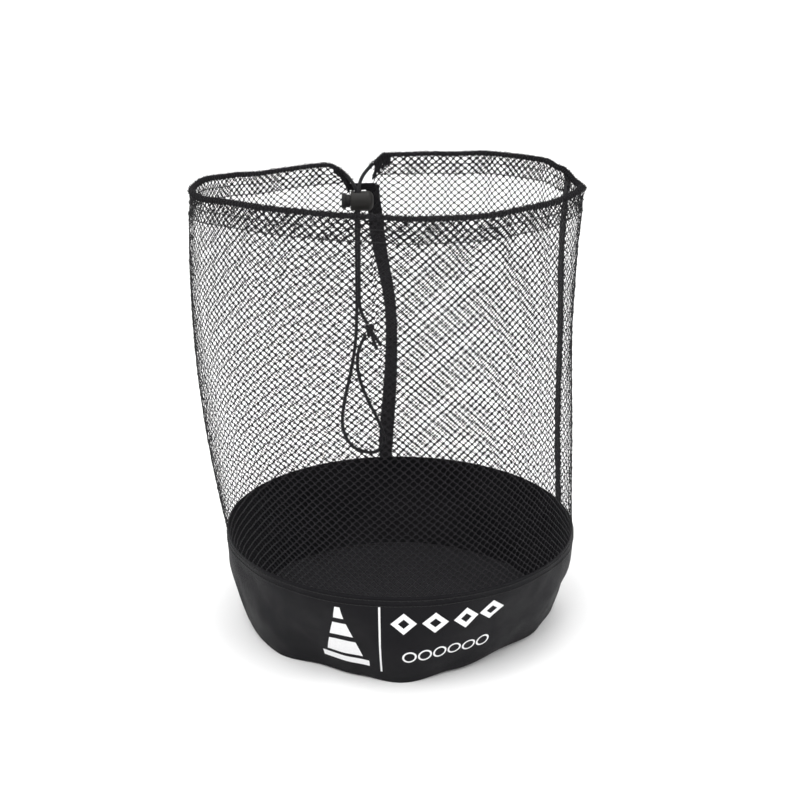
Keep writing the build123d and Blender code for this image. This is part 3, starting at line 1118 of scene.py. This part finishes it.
def band_points(theta, t, inset=0.0):
    """Points on the band's outer face; t runs from 0 at the lower edge to 1 at the top."""
    edge = periodic(theta, BOTTOM_EDGE)
    z = edge[..., 1] + (BAND_Z - edge[..., 1]) * t
    full = BAND_R - 0.3 * MM
    belly = edge[..., 0] + (full - edge[..., 0]) * (1 - (1 - t) ** BAND_BELLY)
    soft = np.sin(math.pi * np.clip(t, 0, 1)) ** 0.7
    r = belly + soft * ripples(BAND_FOLDS, theta, t) * MM
    flat = np.stack([r * np.cos(theta), r * np.sin(theta), z], -1).reshape(-1, 3)
    wrinkle = 1.5 * soft_noise(flat, 0.045, 1) + 0.7 * soft_noise(flat, 0.016, 2)
    wrinkle = wrinkle.reshape(r.shape) * np.sin(math.pi * np.clip(t, 0.02, 0.98)) ** 0.6
    r = r + wrinkle * MM - inset
    return np.stack([r * np.cos(theta), r * np.sin(theta), z], -1)


def make_band():
    """The band's cloth, folded over at its top edge."""
    theta = np.linspace(0, 2 * math.pi, BAND_COLUMNS + 1) + BAND_JOIN_ANGLE
    t = np.linspace(0, 1, BAND_ROWS)
    grid_theta, grid_t = np.meshgrid(theta, t)
    outer = band_points(grid_theta, grid_t)
    inner = band_points(grid_theta, grid_t, BAND_CLOTH)
    top = (outer[-1] + inner[-1]) / 2 + np.array([0, 0, 0.5 * MM])
    loop = np.concatenate([outer, top[None], inner[::-1]])
    up = np.concatenate([t * BAND_Z, [BAND_Z], (2 - t[::-1]) * BAND_Z])
    weave = np.stack(np.broadcast_arrays((theta * BAND_R)[None], up[:, None]), -1).reshape(-1, 2)
    faces = grid_faces(len(loop), BAND_COLUMNS + 1, wrap_rows=True)
    piece = mesh_piece("base_band_cloth", loop.reshape(-1, 3), faces.tolist(), weave)
    dress(piece, CLOTH, "coated_fabric", "bag", "base_band")
    flat = (BAND_FLAT_HEIGHT, 2 * math.pi * BAND_R)
    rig.sheet(piece, flat=flat, held="stretched", rests_on=["net_wall", "base_floor"])


make_band()


# Wrinkles of the floor: (size in millimetres, scale in metres, seed). Its mean and least rise are in
# millimetres too.
FLOOR_RELIEF = [(4.2, 0.07, 5), (2.6, 0.03, 6), (1.0, 0.013, 7)]
FLOOR_RISE = 2.4
FLOOR_LEAST = 0.2


def make_floor_cloth():
    """The floor: flat underneath, loosely wrinkled where it shows inside the bag."""
    rings, columns = 70, 360
    theta = np.linspace(0, 2 * math.pi, columns, endpoint=False)
    edge_r, edge_z = periodic(theta, BOTTOM_EDGE).T
    share = np.linspace(0, 1, rings)[:, None] ** 0.8
    x, y = edge_r * share * np.cos(theta), edge_r * share * np.sin(theta)
    under_z = edge_z * share**6
    flat = np.stack([x, y, np.zeros_like(x)], -1).reshape(-1, 3)
    relief = sum(size * soft_noise(flat, scale, seed) for size, scale, seed in FLOOR_RELIEF)
    relief = relief.reshape(x.shape) * np.sin(math.pi * share**1.3)
    top_z = under_z + BAND_CLOTH + (FLOOR_RISE + relief).clip(FLOOR_LEAST) * MM * (1 - share**8)
    under = np.stack([x, y, under_z], -1)
    top = np.stack([x, y, top_z], -1)
    points = np.concatenate([under, top[::-1]])
    weave = points[..., :2].reshape(-1, 2)
    faces = grid_faces(2 * rings, columns, wrap_rows=True, wrap_columns=True)
    piece = mesh_piece("base_floor_cloth", points.reshape(-1, 3), faces.tolist(), weave)
    weld = piece.modifiers.new("weld", "WELD")
    weld.merge_threshold = 0.01 * MM
    dress(piece, FLOOR_CLOTH, "coated_fabric", "bag", "base_floor")
    width = 2 * float(edge_r.max())
    area = float((edge_r**2).mean() * math.pi)
    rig.sheet(piece, flat=(width, width), held="laid", rests_on=["base_band"], area=area)


make_floor_cloth()


def make_band_stitching():
    """Two rows of stitches round the top of the band, which hold the net."""
    theta = np.linspace(0, 2 * math.pi, 1600)
    for name, down, nodes in (("band_stitches_top", 3.0, ["band_stitching"]), ("band_stitches_low", 8.5, [])):
        t = np.full_like(theta, 1 - down * MM / BAND_Z)
        stitch_row(name, band_points(theta, t, -0.15 * MM), BAND_STITCH, nodes)


make_band_stitching()

# ---------------------------------------------------------------- side seam

SEAM_LOW, SEAM_HIGH = node_box("side_seam")
SEAM_ANGLE = math.atan2(SEAM_LOW[1] + SEAM_HIGH[1], SEAM_LOW[0] + SEAM_HIGH[0])
SEAM_HALF = 4.7 * MM
SEAM_ROWS = 150
SEAM_COLUMNS = 9


def make_side_seam():
    """Gathered double strip down the net, overcast with thread."""
    top = float(hem_z(np.array(SEAM_ANGLE)))
    z = np.linspace(BAND_Z - 3 * MM, top - 2 * MM, SEAM_ROWS)[:, None]
    across = np.linspace(-1, 1, SEAM_COLUMNS)
    pull = 1 + 0.12 * np.sin(z / (7 * MM)) + 0.10 * np.sin(z / (2.3 * MM))
    theta = SEAM_ANGLE + across * SEAM_HALF * pull / MOUTH_A
    puff = 1.2 + 0.9 * np.cos(across * math.pi / 2) + 0.35 * np.sin(z / (1.15 * MM))
    height = np.broadcast_to(z, theta.shape)
    outer = wall_point(theta, height, puff * MM)
    inner = wall_point(theta, height, -0.6 * MM)
    loop = np.concatenate([outer, inner[:, ::-1]], 1)
    weave = np.stack(np.broadcast_arrays(np.linspace(0, 0.03, 2 * SEAM_COLUMNS)[None], z), -1)
    faces = tube_faces(SEAM_ROWS, 2 * SEAM_COLUMNS)
    piece = mesh_piece("side_seam_strip", loop.reshape(-1, 3), faces, weave.reshape(-1, 2))
    dress(piece, WEBBING, "seam_tape", "bag", "side_seam")

    zig = np.arange(BAND_Z, top - 4 * MM, 1.6 * MM)
    side = np.where(np.arange(len(zig)) % 2, 1.0, -1.0) * SEAM_HALF * 0.95
    line = wall_point(SEAM_ANGLE + side / MOUTH_A, zig, 2.0 * MM)
    points, faces, weave = tube_mesh(resample(line, 1.2 * MM), 0.3 * MM, 5)
    dress(mesh_piece("side_seam_thread", points, faces, weave), THREAD, "thread", "bag")


make_side_seam()

# ---------------------------------------------------------------- strap

STRAP_LOW, STRAP_HIGH = node_box("carry_strap")
STRAP_W = 15 * MM
STRAP_T = 1.5 * MM
STRAP_STEP = 1.6 * MM
STRAP_CUP = 0.5 * MM
STRAP_BEND_FROM = 14 * MM


def strap_line():
    """Centre line of the strap from its top sewn end to its bottom one, as the strap hangs."""
    top_low, top_high = node_box("strap_top_end")
    low_low, low_high = node_box("strap_bottom_end")
    top_x = (top_low[0] + top_high[0]) / 2
    low_x = (low_low[0] + low_high[0]) / 2
    bow = STRAP_HIGH[1] - STRAP_T
    points = [
        (top_x, top_low[1] + STRAP_T / 2, top_high[2]),
        (top_x, top_low[1] + STRAP_T / 2, top_high[2] - 10 * MM),
        (top_x + 1 * MM, STRAP_LOW[1] + 1.5 * MM, STRAP_HIGH[2] - 4 * MM),
        (top_x + 6 * MM, STRAP_LOW[1] + 16 * MM, 0.315),
        (-0.0085, bow - 1 * MM, 0.262),
        (-0.0065, bow, 0.215),
        (-0.0085, bow - 5 * MM, 0.165),
        (low_x + 1.5 * MM, low_high[1] + 6 * MM, 0.125),
        (low_x, low_low[1] + 3.4 * MM, STRAP_LOW[2] - 1 * MM),
        (low_x, low_low[1] + STRAP_T / 2, low_low[2] + 12 * MM),
        (low_x, low_low[1] + STRAP_T / 2, low_low[2]),
    ]
    return resample(nurbs_line("strap_line", points), STRAP_STEP)


def ribbon(line, twist, width):
    """Closed webbing with rounded edges along a line; twist turns it about the line."""
    along = unit(np.gradient(line, axis=0))
    across = unit(np.array([1.0, 0.0, 0.0]) - along * along[:, :1])
    face = np.cross(along, across)
    c, s = np.cos(twist)[:, None], np.sin(twist)[:, None]
    side, flat = across * c + face * s, face * c - across * s
    places = [k / 6 - 1 for k in range(13)]
    outline = [(place, 1) for place in places] + [(-place, -1) for place in places]
    length = np.arange(len(line)) * STRAP_STEP
    points, weave = [], []
    for place, sign in outline:
        rim = (1 - abs(place) ** 10) ** 0.5
        out = sign * STRAP_T / 2 * (0.25 + 0.75 * rim) + STRAP_CUP * place**2
        reach = place * width / 2
        points.append(line + side * reach[:, None] + flat * out)
        weave.append(np.stack([reach + 0.05 * (sign < 0), length], -1))
    faces = tube_faces(len(line), len(outline))
    return np.stack(points, 1).reshape(-1, 3), faces, np.stack(weave, 1).reshape(-1, 2)


def make_strap():
    """The webbing strap in two halves, each bending between its sewn end and the free span."""
    line = strap_line()
    t = np.linspace(0, 1, len(line))
    twist = 0.55 * np.sin(math.pi * t) ** 0.8 - 0.12 * np.sin(3 * math.pi * t)
    near_end = smooth_step(0, 0.13, t) * smooth_step(0, 0.10, 1 - t)
    width = STRAP_W * (0.80 + 0.20 * near_end)
    middle = len(line) // 2
    sewn, quarter = [0, 0, STRAP_BEND_FROM], middle // 3
    halves = (
        ("strap_upper", "strap_top_end", slice(0, middle + 1), line[0] - sewn, line[quarter]),
        ("strap_lower", "strap_bottom_end", slice(middle, len(line)), line[-1] + sewn, line[-quarter]),
    )
    for name, end_name, span, start, end in halves:
        piece = mesh_piece(name, *ribbon(line[span], twist[span], width[span]))
        dress(piece, WEBBING, "webbing", None, end_name, "carry_strap")
        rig.blend(piece, "bag", "strap", start=tuple(start), end=tuple(end))


make_strap()


def make_tacks():
    """Bar tacks: a dense zigzag of thread across each sewn end."""
    for name in ("strap_top_tack", "strap_bottom_tack"):
        low, high = node_box(name)
        x = np.arange(low[0] + 1 * MM, high[0] - 1 * MM, 0.55 * MM)
        y = np.full_like(x, low[1] + 0.15 * MM)
        zigzag = np.where(np.arange(len(x)) % 2, 1.0, -1.0) * 0.9 * MM
        rows = []
        for row_z in np.linspace(low[2] + 1 * MM, high[2] - 1 * MM, 3):
            rows.append(tube_mesh(np.stack([x, y, row_z + zigzag], 1), 0.24 * MM, 5))
        piece = mesh_piece(name.replace("_tack", "_bartack"), *joined(rows))
        dress(piece, THREAD, "thread", "bag", name)


make_tacks()

# ---------------------------------------------------------------- print on the band

FRONT_R = 0.150
PRINT_LIFT = 0.25 * MM
PRINT_RINGS = 7
# How small the hole of a filled shape is, as a share of the shape
FILLED = 0.001
# The cone's bars: (lower edge, upper edge) up the band and (lower, upper) half width in millimetres
CONE_X = -0.0495
CONE_BARS = [
    ((0.17, 0.24), (22, 22)),
    ((0.28, 0.45), (16.5, 11.5)),
    ((0.51, 0.67), (10.0, 5.6)),
    ((0.73, 0.86), (4.2, 2.0)),
]
# Places on the band: (millimetres across, share of the height)
DIAMOND_PLACES = [(2, 0.72), (27, 0.72), (52, 0.72), (74, 0.73)]
RING_PLACES = [(x, 0.35) for x in range(7, 73, 13)]


def on_band(x, t):
    """A place on the front of the band: x across, t up the band."""
    theta = np.arctan2(-np.sqrt(np.maximum(FRONT_R**2 - x**2, 1e-6)), x)
    return band_points(theta, t, -PRINT_LIFT)


def print_patch(name, outlines):
    """White shapes laid on the band, each between an outer and an inner line of (x, t) points."""
    vertices, faces, weave = [], [], []
    for outer, inner in outlines:
        faces += (grid_faces(PRINT_RINGS, len(outer), wrap_columns=True) + len(vertices)).tolist()
        for share in np.linspace(0, 1, PRINT_RINGS):
            ring = outer * (1 - share) + inner * share
            weave += (ring * [1, BAND_Z]).tolist()
            vertices += on_band(ring[:, 0], ring[:, 1]).tolist()
    dress(mesh_piece(name, vertices, faces, np.array(weave)), INK, None, "bag")


def filled(ring):
    """A shape without a hole, as print_patch takes it."""
    centre = ring.mean(0)
    return ring, centre + (ring - centre) * FILLED


def circle(x, t, r, hole):
    """A round ring."""
    a = np.linspace(0, 2 * math.pi, 32, endpoint=False)
    edge = np.stack([np.cos(a), np.sin(a) / BAND_Z], 1)
    return edge * r + [x, t], edge * hole + [x, t]


def diamond(x, t, r, hole):
    """A square on its corner, with a hole of the same shape."""
    turn = np.arange(32) / 8
    side, part = np.floor(turn), (turn % 1)[:, None]
    start, end = (
        np.stack([np.cos(k * math.pi / 2), np.sin(k * math.pi / 2) / BAND_Z], 1) for k in (side, side + 1)
    )
    edge = start * (1 - part) + end * part
    return edge * r + [x, t], edge * hole + [x, t]


def block(x0, x1, t0, t1, count=6):
    """The outline of a bar between x0 and x1 and between heights t0 and t1."""
    edge = np.linspace(0, 1, count, endpoint=False)[:, None]
    corners = np.array([(x0, t0), (x1, t0), (x1, t1), (x0, t1)])
    return np.concatenate([a + (b - a) * edge for a, b in zip(corners, np.roll(corners, -1, 0))])


def make_print():
    """A made-up mark: a marker cone in four bars, a divider, four diamonds and a row of rings."""
    cone = []
    for heights, halves in CONE_BARS:
        bar = block(-1, 1, *heights, count=8)
        half = np.interp(bar[:, 1], heights, halves) * MM
        cone.append(filled(np.stack([CONE_X + bar[:, 0] * half, bar[:, 1]], 1)))
    print_patch("print_cone", cone)
    print_patch("print_divider", [filled(block(-0.0178, -0.0162, 0.13, 0.90))])
    print_patch("print_diamonds", [diamond(x * MM, t, 10.5 * MM, 4.6 * MM) for x, t in DIAMOND_PLACES])
    print_patch("print_rings", [circle(x * MM, t, 6.0 * MM, 4.4 * MM) for x, t in RING_PLACES])


make_print()

# ---------------------------------------------------------------- cord lock


def make_lock():
    """Materials for the lock's body and button, which are the CAD's own pieces."""
    for name, material in (("lock_body", LOCK_PLASTIC), ("lock_button", BUTTON_PLASTIC)):
        piece = frame["nodes"][name]
        piece.data.materials.clear()
        piece.data.materials.append(material)


make_lock()

# ---------------------------------------------------------------- floor and light

STAGE_HALF = 3.0
STAGE_BEND = 1.2
STAGE_TOP = 2.5


def make_stage():
    """White paper that runs back and bends up behind the bag."""
    profile = [(-STAGE_HALF, 0)]
    for a in np.linspace(0, math.pi / 2, 24):
        profile.append((STAGE_BEND * (1.2 + math.sin(a)), STAGE_BEND * (1 - math.cos(a))))
    profile.append((STAGE_BEND * 2.2, STAGE_TOP))
    points = [(x, y, z) for y, z in profile for x in (-STAGE_HALF, STAGE_HALF)]
    floor = mesh_piece("studio_floor", points, grid_faces(len(profile), 2).tolist())
    material, tree, shader = principled("studio_paper", (0.93, 0.93, 0.93), 0.9)
    tint(tree, shader, noise_at(tree, object_place(tree), 3, 2), (0.92, 0.92, 0.92), (0.94, 0.94, 0.94))
    floor.data.materials.append(material)
    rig.stage(floor)


def area_light(name, place, target, size, power):
    """A rectangular light at a place, turned to its target."""
    data = bpy.data.lights.new(name, "AREA")
    data.shape = "RECTANGLE"
    data.size, data.size_y = size
    data.energy = power
    light = bpy.data.objects.new(name, data)
    light.location = place
    light.rotation_euler = (Vector(target) - Vector(place)).to_track_quat("-Z", "Y").to_euler()
    bpy.context.scene.collection.objects.link(light)


def make_light():
    make_stage()
    area_light("key_light", (-0.9, -1.3, 1.9), (0, 0, 0.2), (1.6, 1.2), 26)
    area_light("fill_light", (1.6, -1.0, 1.3), (0, 0, 0.2), (1.4, 1.4), 15)
    area_light("top_light", (0, 0.3, 2.4), (0, 0, 0), (2.2, 2.0), 34)
    world = bpy.data.worlds.new("studio")
    world.use_nodes = True
    sky = world.node_tree.nodes["Background"]
    sky.inputs["Color"].default_value = (1, 1, 1, 1)
    sky.inputs["Strength"].default_value = 0.75
    bpy.context.scene.world = world
    bpy.context.scene.view_settings.view_transform = "Standard"


make_light()

with open("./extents.json", "w") as out:
    boxes = {
        "cad": [[float(v) for v in corner] for corner in CAD_BOX],
        "visual": [[float(v) for v in corner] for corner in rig.bounds()],
    }
    json.dump(boxes, out)
